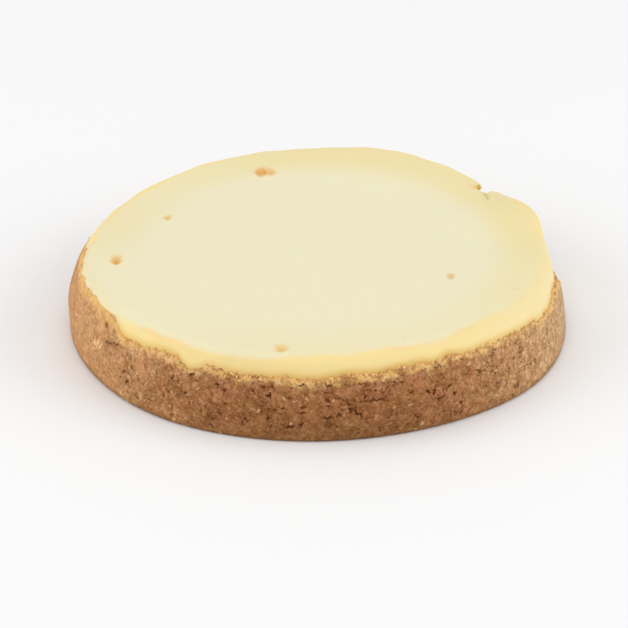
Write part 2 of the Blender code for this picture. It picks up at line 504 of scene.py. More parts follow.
@dataclass(frozen=True)
class Grain:
    """The pattern of pressed crumb, one for its relief and its colours. Sizes in millimetres."""

    warp_size: float = 1.9
    warp: float = 1.5
    grain: float = 1.25
    fine: float = 0.62
    flock: float = 8.0  # pits gather in flocks of about this size
    hole: float = 2.1  # how wide the pits are
    hole_start: float = 0.7  # what the pits' noise must pass in dense crumb
    hole_more: float = 0.1  # how much less it takes in the flocks
    pit_depth: float = 0.8
    gap_depth: float = 0.2
    step_depth: float = 0.16  # between one grain's face and the next
    crack_size: tuple[float, float, float] = (4.2, 4.2, 1.5)
    crack_width: float = 0.03
    crack_depth: float = 0.6
    mottle: float = 1.3

    def lay(
        self, sheet: Sheet, place: bpy.types.NodeSocket, loose: bpy.types.NodeSocket
    ) -> dict[str, bpy.types.NodeSocket]:
        """Lays the pattern's nodes in a tree.

        Args:
            sheet: The tree.
            place: The place on the unbroken crumb, in metres.
            loose: How loosely the crumb is packed there.

        Returns:
            Sockets with the relief in metres, the pits, the gaps, and shades of the grains.
        """
        place = sheet.scaled(place, 1.0 / MM)
        wander = sheet.noise(place, self.warp_size, 1.0).outputs["Color"]
        wander = sheet.scaled(sheet.summed(wander, (-0.5, -0.5, -0.5)), 2.0 * self.warp)
        bent = sheet.summed(place, wander)
        grain = sheet.cells(bent, self.grain)
        edge = sheet.cells(bent, self.grain, "DISTANCE_TO_EDGE").outputs["Distance"]
        luck, shade, step = sheet.parts(grain.outputs["Color"])
        flock = sheet.noise(place, self.flock, 2.0).outputs[0]
        dense = sheet.math("MULTIPLY", sheet.ramp(flock, 0.36, 0.66), loose)
        start = sheet.ramp(dense, 0.0, 1.0, self.hole_start, self.hole_start - self.hole_more)
        stretched = sheet.scaled(bent, (1.0, 1.0, 1.35))
        hole = sheet.noise(stretched, self.hole, 2.0).outputs[0]
        hole = sheet.ramp(sheet.math("SUBTRACT", hole, start), 0.0, 0.05)
        pit = sheet.math("MULTIPLY", hole, sheet.ramp(luck, 0.2, 0.35, 0.35, 1.0))
        gap = sheet.math("MULTIPLY", sheet.ramp(edge, 0.0, 0.11, 1.0, 0.0), loose)
        gap = sheet.math("MULTIPLY", gap, sheet.ramp(flock, 0.36, 0.6))
        flat = sheet.scaled(bent, tuple(1.0 / s for s in self.crack_size))
        seam = sheet.add("ShaderNodeTexNoise", {"Vector": flat, "Scale": 1.0, "Detail": 1.0})
        seam = sheet.math("ABSOLUTE", sheet.math("SUBTRACT", seam.outputs[0], 0.5))
        where = sheet.noise(place, 11.0, 1.0).outputs[0]
        crack = sheet.ramp(seam, 0.0, self.crack_width, 1.0, 0.0)
        crack = sheet.math("MULTIPLY", crack, sheet.ramp(where, 0.55, 0.62))
        crack = sheet.math("MULTIPLY", crack, loose)
        relief = sheet.math("MULTIPLY", pit, -self.pit_depth * MM)
        relief = sheet.math("ADD", relief, sheet.math("MULTIPLY", gap, -self.gap_depth * MM))
        relief = sheet.math("ADD", relief, sheet.math("MULTIPLY", crack, -self.crack_depth * MM))
        lowered = sheet.math("MULTIPLY", sheet.math("MULTIPLY", step, loose), -self.step_depth * MM)
        relief = sheet.math("ADD", relief, lowered)
        fine = sheet.cells(bent, self.fine)
        return {
            "Relief": relief,
            "Pit": sheet.math("MAXIMUM", pit, crack),
            "Gap": gap,
            "Luck": luck,
            "Shade": shade,
            "Fine": fine.outputs["Distance"],
            "Fine Shade": sheet.parts(fine.outputs["Color"])[0],
            "Mottle": sheet.noise(place, self.mottle, 3.0).outputs[0],
        }


@dataclass(frozen=True)
class CrumbFinish:
    """Baked biscuit crumb, bound with fat: browns that change from grain to grain."""

    grain: Grain = Grain()
    red_brown: Colour = paint(166, 108, 70)
    olive_brown: Colour = paint(161, 109, 66)
    pale_red: Colour = paint(216, 163, 112)
    pale_olive: Colour = paint(212, 165, 114)
    dusty: Colour = paint(198, 166, 128)
    flake: Colour = paint(244, 203, 144)
    # painted shade: the dark brown put into pits, gaps between grains and crevices
    hollow: Colour = paint(92, 42, 4)
    buttery: Colour = paint(238, 190, 112)
    # pressed crumb and painted shade: the dark brown along the foot and low on the front
    pressed: Colour = paint(137, 97, 56)
    shading: tuple[float, float, float] = (0.64, 0.88, 1.18)  # light grains are greyer
    crisper: float = 1.45  # how much more the grains differ in loose crumb
    roughness: float = 0.9
    specular: float = 0.1
    bump: float = 0.55
    bump_height: float = 0.22 * MM

    def pattern(self) -> bpy.types.NodeTree:
        """Makes the shader group of the crumb's pattern."""
        outputs = ("Relief", "Pit", "Gap", "Luck", "Shade", "Fine", "Fine Shade", "Mottle")
        group, sheet, given, results = make_group(
            "pressed_crumb_pattern",
            {"Place": "Vector", "Looseness": "Float"},
            {name: "Float" for name in outputs},
        )
        laid = self.grain.lay(sheet, given.outputs["Place"], given.outputs["Looseness"])
        for name in outputs:
            sheet.feed(results.inputs[name], laid[name])
        return group

    def material(self) -> bpy.types.Material:
        """Makes the material of the crust."""
        made = bpy.data.materials.new("baked_crumb")
        made.use_nodes = True
        sheet = Sheet(made.node_tree)
        shader = made.node_tree.nodes["Principled BSDF"]
        marks = {
            mark: sheet.add("ShaderNodeAttribute", attribute_name=mark.value).outputs
            for mark in (
                Mark.REST,
                Mark.LOOSE,
                Mark.PALE,
                Mark.STAIN,
                Mark.FOOT,
                Mark.RIM,
                Mark.HOLLOW,
                Mark.CHIP,
                Mark.DUST,
            )
        }
        value = {mark: outputs["Fac"] for mark, outputs in marks.items()}
        place = marks[Mark.REST]["Vector"]
        pattern = self._placed(sheet, place, value[Mark.LOOSE])
        colour = self._colour(sheet, place, value, pattern)
        sheet.feed(shader.inputs["Base Color"], colour)
        shader.inputs["Roughness"].default_value = self.roughness
        shader.inputs["Specular IOR Level"].default_value = self.specular
        height = sheet.math("MULTIPLY", pattern["Fine"], -0.55)
        height = sheet.math("ADD", height, sheet.math("MULTIPLY", pattern["Gap"], -0.8))
        height = sheet.math("ADD", height, sheet.math("MULTIPLY", pattern["Shade"], 0.35))
        bump = sheet.add("ShaderNodeBump", {"Height": height, "Strength": self.bump})
        bump.inputs["Distance"].default_value = self.bump_height
        sheet.feed(shader.inputs["Normal"], bump.outputs[0])
        return made

    def loose_material(self) -> bpy.types.Material:
        """Makes the material of loose crumbs, each with its own shade."""
        made = bpy.data.materials.new("loose_crumb")
        made.use_nodes = True
        sheet = Sheet(made.node_tree)
        shader = made.node_tree.nodes["Principled BSDF"]
        tint = sheet.add("ShaderNodeAttribute", attribute_name=Mark.TINT.value).outputs["Fac"]
        place = sheet.scaled(sheet.add("ShaderNodeTexCoord").outputs["Object"], 1.0 / MM)
        mottle = sheet.noise(place, 0.5, 2.0).outputs[0]
        pale = sheet.mix(sheet.ramp(tint, 0.5, 0.9), self.pale_olive, self.flake)
        colour = sheet.mix(sheet.ramp(tint, 0.0, 0.25), self.pale_red, pale)
        colour = sheet.mix(sheet.ramp(mottle, 0.35, 0.7, 0.0, 0.35), colour, self.buttery)
        sheet.feed(shader.inputs["Base Color"], colour)
        shader.inputs["Roughness"].default_value = self.roughness
        shader.inputs["Specular IOR Level"].default_value = self.specular
        return made

    def _placed(self, sheet: Sheet, place: object, loose: object) -> dict:
        """Places the crumb's pattern in a material and gives its outputs by name."""
        node = sheet.add("ShaderNodeGroup", node_tree=self.pattern())
        sheet.feed(node.inputs["Place"], place)
        sheet.feed(node.inputs["Looseness"], loose)
        return {socket.name: socket for socket in node.outputs}

    def _colour(self, sheet: Sheet, place: object, value: dict, pattern: dict) -> object:
        """Mixes the crumb's colour from its marks and its pattern."""
        millimetres = sheet.scaled(place, 1.0 / MM)
        blotch = sheet.ramp(sheet.noise(millimetres, 9.0, 1.0).outputs[0], 0.36, 0.64)
        browned = sheet.mix(blotch, self.red_brown, self.olive_brown)
        pale = sheet.mix(blotch, self.pale_red, self.pale_olive)
        colour = sheet.mix(value[Mark.PALE], browned, pale)
        colour = sheet.mix(value[Mark.DUST], colour, self.dusty)
        # painted shade, partly pressed crumb: darker along the foot and low on the front
        colour = sheet.mix(value[Mark.FOOT], colour, self.pressed)
        light = sheet.ramp(pattern["Shade"], 0.0, 1.0, 0.87, 1.13)
        light = sheet.math("MULTIPLY", light, sheet.ramp(pattern["Fine Shade"], 0, 1, 0.9, 1.1))
        light = sheet.math("MULTIPLY", light, sheet.ramp(pattern["Mottle"], 0.3, 0.7, 0.82, 1.18))
        patch = sheet.noise(millimetres, 3.6, 2.0).outputs[0]
        light = sheet.math("MULTIPLY", light, sheet.ramp(patch, 0.32, 0.68, 0.86, 1.14))
        crisp = sheet.ramp(value[Mark.LOOSE], 0.1, 1.0, 1.0, self.crisper)
        light = sheet.math("POWER", light, crisp)
        shades = {i: sheet.math("POWER", light, share) for i, share in enumerate(self.shading)}
        light = sheet.add("ShaderNodeCombineXYZ", shades).outputs[0]
        colour = sheet.mix(1.0, colour, light, "MULTIPLY")
        colour = sheet.mix(sheet.ramp(pattern["Luck"], 0.984, 0.992, 0.0, 0.45), colour, self.flake)
        edge = sheet.mix(sheet.ramp(pattern["Shade"], 0.2, 0.8), self.buttery, self.flake)
        flakes = sheet.math("MULTIPLY", sheet.ramp(pattern["Luck"], 0.18, 0.3), value[Mark.RIM])
        flakes = sheet.math("MULTIPLY", flakes, sheet.ramp(patch, 0.36, 0.5, 0.25, 0.85))
        colour = sheet.mix(flakes, colour, edge)
        colour = sheet.mix(value[Mark.CHIP], colour, self.flake)
        uneven = sheet.ramp(pattern["Mottle"], 0.35, 0.6, 0.55, 1.0)
        uneven = sheet.math("MULTIPLY", uneven, sheet.ramp(patch, 0.34, 0.6, 0.5, 1.0))
        stained = sheet.math("MULTIPLY", value[Mark.STAIN], uneven)
        colour = sheet.mix(stained, colour, self.buttery)
        # painted shade: pits, gaps between grains and crevices are darkened towards the hollow colour
        dark = sheet.math("MULTIPLY", pattern["Gap"], sheet.ramp(value[Mark.RIM], 0, 1, 0.35, 0.12))
        pit = sheet.math("MULTIPLY", pattern["Pit"], sheet.ramp(value[Mark.RIM], 0, 1, 1.0, 0.4))
        pit = sheet.math("MULTIPLY", pit, sheet.ramp(value[Mark.CHIP], 0, 0.5, 1.0, 0.0))
        dark = sheet.math("MAXIMUM", sheet.math("MAXIMUM", pit, dark), value[Mark.HOLLOW])
        return sheet.mix(sheet.math("MULTIPLY", dark, 0.86), colour, self.hollow)


@dataclass(frozen=True)
class FillingFinish:
    """Set cheese, smooth and slightly translucent, with a pale skin and a yellow side."""

    skin: Colour = paint(240, 233, 198)
    ring: Colour = paint(241, 224, 168)
    side: Colour = paint(250, 225, 158)
    seam: Colour = paint(249, 212, 146)
    # also the painted shade in the notch's groove
    soaked: Colour = paint(237, 199, 114)
    toast: Colour = paint(232, 172, 98)
    roughness: float = 0.52
    specular: float = 0.3
    scatter: float = 0.25
    scatter_reach: tuple[float, float, float] = (3.2, 2.0, 0.9)  # millimetres, by colour
    bump: float = 0.12
    bump_height: float = 0.1 * MM

    def material(self) -> bpy.types.Material:
        """Makes the material of the filling."""
        made = bpy.data.materials.new("set_cheese")
        made.use_nodes = True
        sheet = Sheet(made.node_tree)
        shader = made.node_tree.nodes["Principled BSDF"]
        value = {
            mark: sheet.add("ShaderNodeAttribute", attribute_name=mark.value).outputs["Fac"]
            for mark in (Mark.BAND, Mark.RING, Mark.SEAM, Mark.STAIN, Mark.TOAST)
        }
        place = sheet.scaled(sheet.add("ShaderNodeTexCoord").outputs["Object"], 1.0 / MM)
        colour = sheet.mix(value[Mark.RING], self.skin, self.ring)
        colour = sheet.mix(value[Mark.BAND], colour, self.side)
        colour = sheet.mix(sheet.math("MULTIPLY", value[Mark.SEAM], 0.7), colour, self.seam)
        colour = sheet.mix(value[Mark.STAIN], colour, self.soaked)
        colour = sheet.mix(value[Mark.TOAST], colour, self.toast)
        sheet.feed(shader.inputs["Base Color"], colour)
        shader.inputs["Roughness"].default_value = self.roughness
        shader.inputs["Specular IOR Level"].default_value = self.specular
        shader.inputs["Subsurface Weight"].default_value = self.scatter
        shader.inputs["Subsurface Radius"].default_value = self.scatter_reach
        shader.inputs["Subsurface Scale"].default_value = MM
        pores = sheet.noise(place, 1.1, 3.0).outputs[0]
        bump = sheet.add("ShaderNodeBump", {"Height": pores, "Strength": self.bump})
        bump.inputs["Distance"].default_value = self.bump_height
        sheet.feed(shader.inputs["Normal"], bump.outputs[0])
        return made


@dataclass(frozen=True)
class FloorFinish:
    """A plain pale studio floor."""

    colour: Colour = (0.96, 0.96, 0.96, 1.0)
    roughness: float = 0.9

    def material(self) -> bpy.types.Material:
        """Makes the material of the floor."""
        made = bpy.data.materials.new("studio_floor")
        made.use_nodes = True
        shader = made.node_tree.nodes["Principled BSDF"]
        shader.inputs["Base Color"].default_value = self.colour
        shader.inputs["Roughness"].default_value = self.roughness
        shader.inputs["Specular IOR Level"].default_value = 0.0
        return made


# ---------------------------------------------------------------- the crumb crust


@dataclass(frozen=True)
class Scar:
    """A crevice or a large crumb in the crust's outer face. Lengths in millimetres."""

    azimuth: float
    height: float
    length: float
    width: float
    tilt: float = 0.0  # in degrees, upwards towards larger azimuths

    def cover(self, azimuth: np.ndarray, radius: np.ndarray, height: np.ndarray) -> np.ndarray:
        """Gives how deep inside the scar's outline each place is, from 0 to 1."""
        side = (azimuth - self.azimuth + 180.0) % 360.0 - 180.0
        along = np.radians(side) * radius / MM
        up = height / MM - self.height
        turn = math.radians(self.tilt)
        length = along * math.cos(turn) + up * math.sin(turn)
        across = up * math.cos(turn) - along * math.sin(turn)
        across = across + 0.3 * self.width * np.sin(length * 2.1 + self.azimuth)
        across = across + 0.16 * self.width * np.sin(length * 5.3 + self.height)
        room = 1.0 - np.abs(length * 2.0 / self.length) ** 2.2
        half = 0.5 * self.width * np.clip(room, 0.0, 1.0)
        cover = smooth(1.5 * (1.0 - np.abs(across) / np.maximum(half, 0.01)))
        return np.where((room > 0.0) & (np.abs(side) < 20.0), cover, 0.0)


@dataclass
class CrumbCrust:
    """The cup of pressed crumb: floor, wall and crumbling rim."""

    form: CakeForm
    finish: CrumbFinish = field(default_factory=CrumbFinish)
    steps: int = 1200
    base_steps: int = 240
    spacing: float = 0.5 * MM
    base_spacing: float = 2.4 * MM
    foot_round: float = 1.8 * MM
    rim_round: float = 1.3 * MM
    base_edge: float = 97.0 * MM  # where the finely divided skin of the wall gives way
    crest: float = 1.0 * MM  # from the outer face to the rim's crest, where it is at full height
    slope: float = 1.8 * MM  # how far the full rim falls from its crest
    bulge: Swells = ((272.0, 60.0, 0.8 * MM),)  # of the upper part of the face
    crevice_depth: float = 1.0 * MM
    chip_height: float = 0.7 * MM
    crevices: tuple[Scar, ...] = (
        Scar(216.4, 21.6, 14.0, 1.3, 17.0),
        Scar(213.3, 26.9, 2.8, 1.8),
        Scar(240.6, 22.6, 3.6, 1.6),
        Scar(248.9, 18.8, 1.6, 1.7),
        Scar(249.3, 13.2, 1.5, 1.4),
        Scar(259.2, 19.5, 2.6, 2.0, 30.0),
        Scar(259.1, 10.1, 1.6, 1.5),
        Scar(264.0, 6.5, 4.6, 0.9, 14.0),
        Scar(266.4, 8.0, 2.0, 1.9),
        Scar(266.8, 15.0, 2.6, 0.9),
        Scar(266.8, 13.0, 2.6, 0.9),
        Scar(266.3, 24.2, 2.6, 1.1),
        Scar(272.5, 24.2, 3.2, 1.2),
        Scar(272.3, 10.7, 4.4, 1.3, 8.0),
        Scar(274.7, 11.6, 2.6, 1.7),
        Scar(277.3, 13.4, 2.4, 1.6, -30.0),
        Scar(278.8, 11.9, 6.4, 1.2, -38.0),
        Scar(276.7, 16.4, 3.0, 0.8, -35.0),
        Scar(282.9, 16.9, 9.6, 0.9, 2.0),
        Scar(291.1, 17.7, 2.4, 1.1),
        Scar(295.3, 16.6, 2.8, 1.4, -20.0),
        Scar(298.1, 12.7, 2.8, 1.5, -20.0),
        Scar(298.0, 25.7, 4.4, 1.1, 6.0),
        Scar(309.5, 18.4, 1.8, 1.4),
        Scar(313.3, 16.1, 1.8, 1.2),
        Scar(314.9, 10.4, 4.2, 1.0),
        Scar(310.8, 11.4, 2.6, 1.0),
    )
    chips: tuple[Scar, ...] = (Scar(210.9, 17.6, 9.6, 3.2, 7.0), Scar(262.7, 18.4, 1.7, 1.4))

    def build(self) -> bpy.types.Object:
        """Builds and dresses the crust.

        Returns:
            The finished piece.
        """
        crust = self._skin()
        chip = self._shape(crust)
        self._mark(crust, chip)
        self._roughen(crust)
        crust.data.materials.append(self.finish.material())
        return crust

    def _skin(self) -> bpy.types.Object:
        """Turns the cup's skin: a fine wall, bridged to a coarser underside."""
        form = self.form
        inner, outer = form.radius - form.wall, form.radius
        rim, foot = form.rim, self.foot_round
        profile = [(inner, form.floor), (inner, rim * 0.6), (inner, rim - self.rim_round)]
        profile += arc((inner + self.rim_round, rim - self.rim_round), self.rim_round, 180, 90, 3)[1:]
        start = profile[-1]
        profile += line(start, (outer - self.rim_round, rim), self.spacing)
        profile += arc((outer - self.rim_round, rim - self.rim_round), self.rim_round, 90, 0, 4)[1:]
        profile += line((outer, rim - self.rim_round), (outer, foot), self.spacing)
        profile += arc((outer - foot, foot), foot, 0, -90, 5)[1:]
        profile += line((outer - foot, 0.0), (self.base_edge, 0.0), 0.9 * MM)
        wall = turned("crumb_crust_wall", profile, self.steps)
        centre = [(0.0, 0.0)] + line((0.0, 0.0), (self.base_edge - 0.6 * MM, 0.0), self.base_spacing)
        base = turned("crumb_crust_base", centre, self.base_steps)
        bpy.ops.object.select_all(action="DESELECT")
        base.select_set(True)
        wall.select_set(True)
        bpy.context.view_layer.objects.active = wall
        bpy.ops.object.join()
        bpy.ops.object.mode_set(mode="EDIT")
        self._select_edge(wall, lambda place: place.z < form.floor / 2.0)
        bpy.ops.mesh.bridge_edge_loops()
        self._select_edge(wall, lambda place: place.z > form.floor / 2.0)
        bpy.ops.mesh.edge_face_add()
        bpy.ops.mesh.select_all(action="SELECT")
        bpy.ops.mesh.normals_make_consistent(inside=False)
        bpy.ops.object.mode_set(mode="OBJECT")
        bpy.ops.object.shade_smooth()
        wall.name = wall.data.name = "pressed_crumb_crust"
        return wall

    def _select_edge(self, obj: bpy.types.Object, where: Callable[[Vector], bool]) -> None:
        """Selects the open edges of a mesh in edit mode that lie where asked."""
        bpy.ops.mesh.select_mode(type="EDGE")
        bpy.ops.mesh.select_all(action="DESELECT")
        mesh = bmesh.from_edit_mesh(obj.data)
        for edge in mesh.edges:
            if edge.is_boundary and all(where(vertex.co) for vertex in edge.verts):
                edge.select_set(True)
        bmesh.update_edit_mesh(obj.data)

    def _shape(self, crust: bpy.types.Object) -> np.ndarray:
        """Gives the turned skin its belly, its lean and its uneven rim.

        Args:
            crust: The turned skin.

        Returns:
            How far inside one of the large chips each point is.
        """
        form = self.form
        azimuth, radius, height = polar(points_of(crust))
        rim = form.rim_height(azimuth)
        stretch = (rim - form.floor) / (form.rim - form.floor)
        raised = form.floor + (height - form.floor) * stretch
        height = np.where(height > form.floor, raised, height)
        depth = form.radius - radius
        fall = np.abs(depth - self.crest) / np.where(depth > self.crest, form.wall - self.crest, self.crest)
        near = smooth(1.0 - (rim - height) / (5.0 * MM)) * (depth < form.wall + MM)
        height = height - self.slope * smooth(fall) * near * form.full_share(azimuth)
        radius = radius * form.wall_radius(azimuth, height) / form.radius
        face = smooth(1.0 - depth / (3.0 * MM))
        upper = smooth((height - 12.0 * MM) / (12.0 * MM))
        radius = radius + swells(azimuth, self.bulge) * upper * face
        hollow = np.max([s.cover(azimuth, radius, height) for s in self.crevices], axis=0)
        chip = np.max([s.cover(azimuth, radius, height) for s in self.chips], axis=0)
        radius = radius + chip * self.chip_height * face - hollow * self.crevice_depth * face
        # painted shade for the crevices, kept for the material
        store(crust, Mark.HOLLOW, hollow * face)
        store(crust, Mark.CHIP, chip * face)
        move_points(crust, from_polar(azimuth, radius, height))
        return chip * face

    def _mark(self, crust: bpy.types.Object, chip: np.ndarray) -> None:
        """Marks where the crumb is loose, pale, stained or pressed smooth, and where shade is painted along
        the foot and low on the front.

        Args:
            crust: The shaped skin.
            chip: How far inside one of the large chips each point is.
        """
        form = self.form
        azimuth, radius, height = polar(points_of(crust))
        below = form.rim_height(azimuth) - height
        depth = form.wall_radius(azimuth, height) - radius
        outside = smooth((form.wall - depth) / form.wall * 4.0)
        # the foot's darkening is partly pressed crumb and partly painted shade; low is painted shade on the
        # lower front
        foot = smooth(1.0 - height / (4.5 * MM))
        front = swells(azimuth, ((274.0, 58.0, 1.0),))
        low = 0.75 * smooth(1.0 - height / (16.0 * MM)) * front
        calm = swells(azimuth, ((192.0, 46.0, 0.9), (352.0, 44.0, 0.6), (90.0, 70.0, 0.4)))
        loose = (1.0 - 0.8 * foot) * (1.0 - calm) * outside
        loose += 0.3 * smooth(1.0 - below / (4.0 * MM)) * outside * (1.0 - form.full_share(azimuth))
        loose *= 1.0 - chip
        pale = 0.02 + swells(azimuth, ((200.0, 58.0, 0.74), (346.0, 60.0, 0.9), (90.0, 60.0, 0.3)))
        pale += 0.2 * smooth(1.0 - below / (9.0 * MM))
        soaked = 0.25 + swells(azimuth, ((216.0, 30.0, 0.7), (186.0, 26.0, 0.5), (290.0, 60.0, 0.15)))
        reach = 2.2 * MM + swells(azimuth, ((208.0, 24.0, 4.0 * MM),))
        reach = reach * (1.0 + ripple(azimuth, 8, (20, 160), 0.3))
        store(crust, Mark.LOOSE, np.clip(loose, 0.0, 1.0))
        store(crust, Mark.PALE, np.clip(pale, 0.0, 1.0))
        store(crust, Mark.STAIN, np.clip(smooth(1.0 - below / reach) * soaked, 0.0, 1.0))
        store(crust, Mark.FOOT, np.maximum(0.8 * foot, low))
        store(crust, Mark.RIM, smooth(1.3 - below / (2.6 * MM)))
        dust = swells(azimuth, ((2.0, 36.0, 0.9), (334.0, 30.0, 0.3)))
        store(crust, Mark.DUST, np.clip(dust, 0.0, 1.0))

    def _roughen(self, crust: bpy.types.Object) -> None:
        """Presses the crumb's grain into the skin, and keeps where each point was before."""
        group, sheet, given, result = make_group(
            "pressed_crumb_relief",
            {"Geometry": "Geometry"},
            {"Geometry": "Geometry"},
            "GeometryNodeTree",
        )
        place = sheet.add("GeometryNodeInputPosition").outputs[0]
        kept = sheet.add(
            "GeometryNodeStoreNamedAttribute",
            {"Geometry": given.outputs[0], "Name": Mark.REST.value, "Value": place},
            data_type="FLOAT_VECTOR",
            domain="POINT",
        )
        looseness = sheet.add(
            "GeometryNodeInputNamedAttribute", {"Name": Mark.LOOSE.value}, data_type="FLOAT"
        )
        laid = self.finish.grain.lay(sheet, place, looseness.outputs["Attribute"])
        normal = sheet.add("GeometryNodeInputNormal").outputs[0]
        offset = sheet.add(
            "ShaderNodeVectorMath", {0: normal, "Scale": laid["Relief"]}, operation="SCALE"
        )
        moved = sheet.add(
            "GeometryNodeSetPosition",
            {"Geometry": kept.outputs[0], "Offset": offset.outputs[0]},
        )
        sheet.feed(result.inputs[0], moved.outputs[0])
        modifier = crust.modifiers.new("pressed_crumb_relief", "NODES")
        modifier.node_group = group
        apply_modifiers(crust)


@dataclass
class LooseCrumbs:
    """The crumbs that lie on the crust's rim under the filling's edge."""

    form: CakeForm
    finish: CrumbFinish = field(default_factory=CrumbFinish)
    count: int = 460
    kinds: int = 5
    seed: int = 12
    sizes: tuple[float, float] = (0.4 * MM, 1.15 * MM)  # radii
    ledge: float = 1.9 * MM  # how far in from the outer face they lie

    def build(self) -> bpy.types.Object:
        """Builds and dresses the crumbs.

        Returns:
            The finished piece, all crumbs in one.
        """
        shapes = bpy.data.collections.new("crumb_shapes")
        bpy.context.scene.collection.children.link(shapes)
        for kind in range(self.kinds):
            self._shape(kind, shapes)
        crumbs = self._places()
        self._scatter(crumbs, shapes)
        for shape in list(shapes.objects):
            bpy.data.objects.remove(shape)
        bpy.data.collections.remove(shapes)
        crumbs.data.materials.clear()
        crumbs.data.materials.append(self.finish.loose_material())
        return crumbs

    def _shape(self, kind: int, shapes: bpy.types.Collection) -> None:
        """Makes one uneven crumb of radius 1 and puts it in the collection."""
        bpy.ops.object.select_all(action="DESELECT")
        bpy.ops.mesh.primitive_ico_sphere_add(subdivisions=2, radius=1.0)
        crumb = bpy.context.active_object
        crumb.name = f"crumb_shape_{kind}"
        chance = np.random.default_rng(self.seed * 100 + kind)
        places = points_of(crumb)
        places = places * (1.0 + chance.normal(0.0, 0.09, len(places)))[:, None]
        for direction in chance.normal(0.0, 1.0, (4, 3)):
            direction = direction / np.linalg.norm(direction)
            past = np.clip(places @ direction - chance.uniform(0.45, 0.8), 0.0, None)
            places = places - past[:, None] * direction
        move_points(crumb, places * np.array([1.0, chance.uniform(0.7, 0.95), 0.75]))
        for collection in list(crumb.users_collection):
            collection.objects.unlink(crumb)
        shapes.objects.link(crumb)

    def _places(self) -> bpy.types.Object:
        """Makes a point for each crumb, with its size, turn, kind and shade."""
        form, count = self.form, self.count
        chance = np.random.default_rng(self.seed)
        azimuth = chance.uniform(0.0, 360.0, count * 3)
        busy = 0.4 + swells(azimuth, ((275.0, 80.0, 0.6),))
        busy = busy * (1.0 - form.full_share(azimuth))
        azimuth = azimuth[chance.uniform(0.0, 1.0, azimuth.size) < busy][:count]
        count = azimuth.size
        size = chance.uniform(0.0, 1.0, count) ** 2.5
        size = self.sizes[0] + (self.sizes[1] - self.sizes[0]) * size
        rim = form.rim_height(azimuth)
        inward = chance.uniform(0.1, 1.0, count) ** 0.8 * self.ledge
        height = rim - 0.35 * size - 0.9 * MM * smooth(1.0 - inward / (0.6 * MM))
        radius = form.wall_radius(azimuth, rim) - inward
        bpy.ops.object.select_all(action="DESELECT")
        bpy.ops.mesh.primitive_circle_add(vertices=count, radius=form.radius, fill_type="NOTHING")
        crumbs = bpy.context.active_object
        crumbs.name = crumbs.data.name = "loose_rim_crumbs"
        move_points(crumbs, from_polar(azimuth, radius, height))
        store(crumbs, Mark.SIZE, size)
        store(crumbs, Mark.TINT, chance.uniform(0.0, 1.0, count))
        store(crumbs, Mark.KIND, chance.integers(0, self.kinds, count))
        store(crumbs, Mark.TURN, chance.uniform(0.0, 2.0 * math.pi, count))
        return crumbs

    def _scatter(self, crumbs: bpy.types.Object, shapes: bpy.types.Collection) -> None:
        """Puts a shape on each point and makes one mesh of them."""
        group, sheet, given, result = make_group(
            "loose_crumbs", {"Geometry": "Geometry"}, {"Geometry": "Geometry"}, "GeometryNodeTree"
        )
        read = {
            mark: sheet.add(
                "GeometryNodeInputNamedAttribute", {"Name": mark.value}, data_type="FLOAT"
            ).outputs["Attribute"]
            for mark in (Mark.SIZE, Mark.TURN, Mark.KIND)
        }
        source = sheet.add(
            "GeometryNodeCollectionInfo",
            {"Collection": shapes, "Separate Children": True, "Reset Children": True},
        )
        tipped = sheet.math("MULTIPLY", read[Mark.TURN], 7.0)
        euler = sheet.add("ShaderNodeCombineXYZ", {0: tipped, 1: read[Mark.TURN], 2: tipped})
        turn = sheet.add("FunctionNodeEulerToRotation", {0: euler.outputs[0]})
        placed = sheet.add(
            "GeometryNodeInstanceOnPoints",
            {
                "Points": given.outputs[0],
                "Instance": source.outputs[0],
                "Pick Instance": True,
                "Instance Index": read[Mark.KIND],
                "Rotation": turn.outputs[0],
                "Scale": read[Mark.SIZE],
            },
        )
        real = sheet.add("GeometryNodeRealizeInstances", {0: placed.outputs[0]})
        sheet.feed(result.inputs[0], real.outputs[0])
        crumbs.modifiers.new("loose_crumbs", "NODES").node_group = group
        apply_modifiers(crumbs)
        bpy.ops.object.shade_smooth()


# ---------------------------------------------------------------- the cheese filling


@dataclass(frozen=True)
class Dent:
    """A small hollow in the top of the filling."""

    x: float
    y: float
    width: float  # across, along X
    length: float  # across, along Y
    depth: float
    lip: float  # a raised edge round it
    toast: float  # how brown its middle is
    yellow: float  # how yellow its middle is
    rough: float = 0.0  # how lumpy it is


@dataclass(frozen=True)
class Fleck:
    """A faint stroke on the skin, without any depth."""

    x: float
    y: float
    width: float  # across, along X
    length: float  # across, along Y
    toast: float


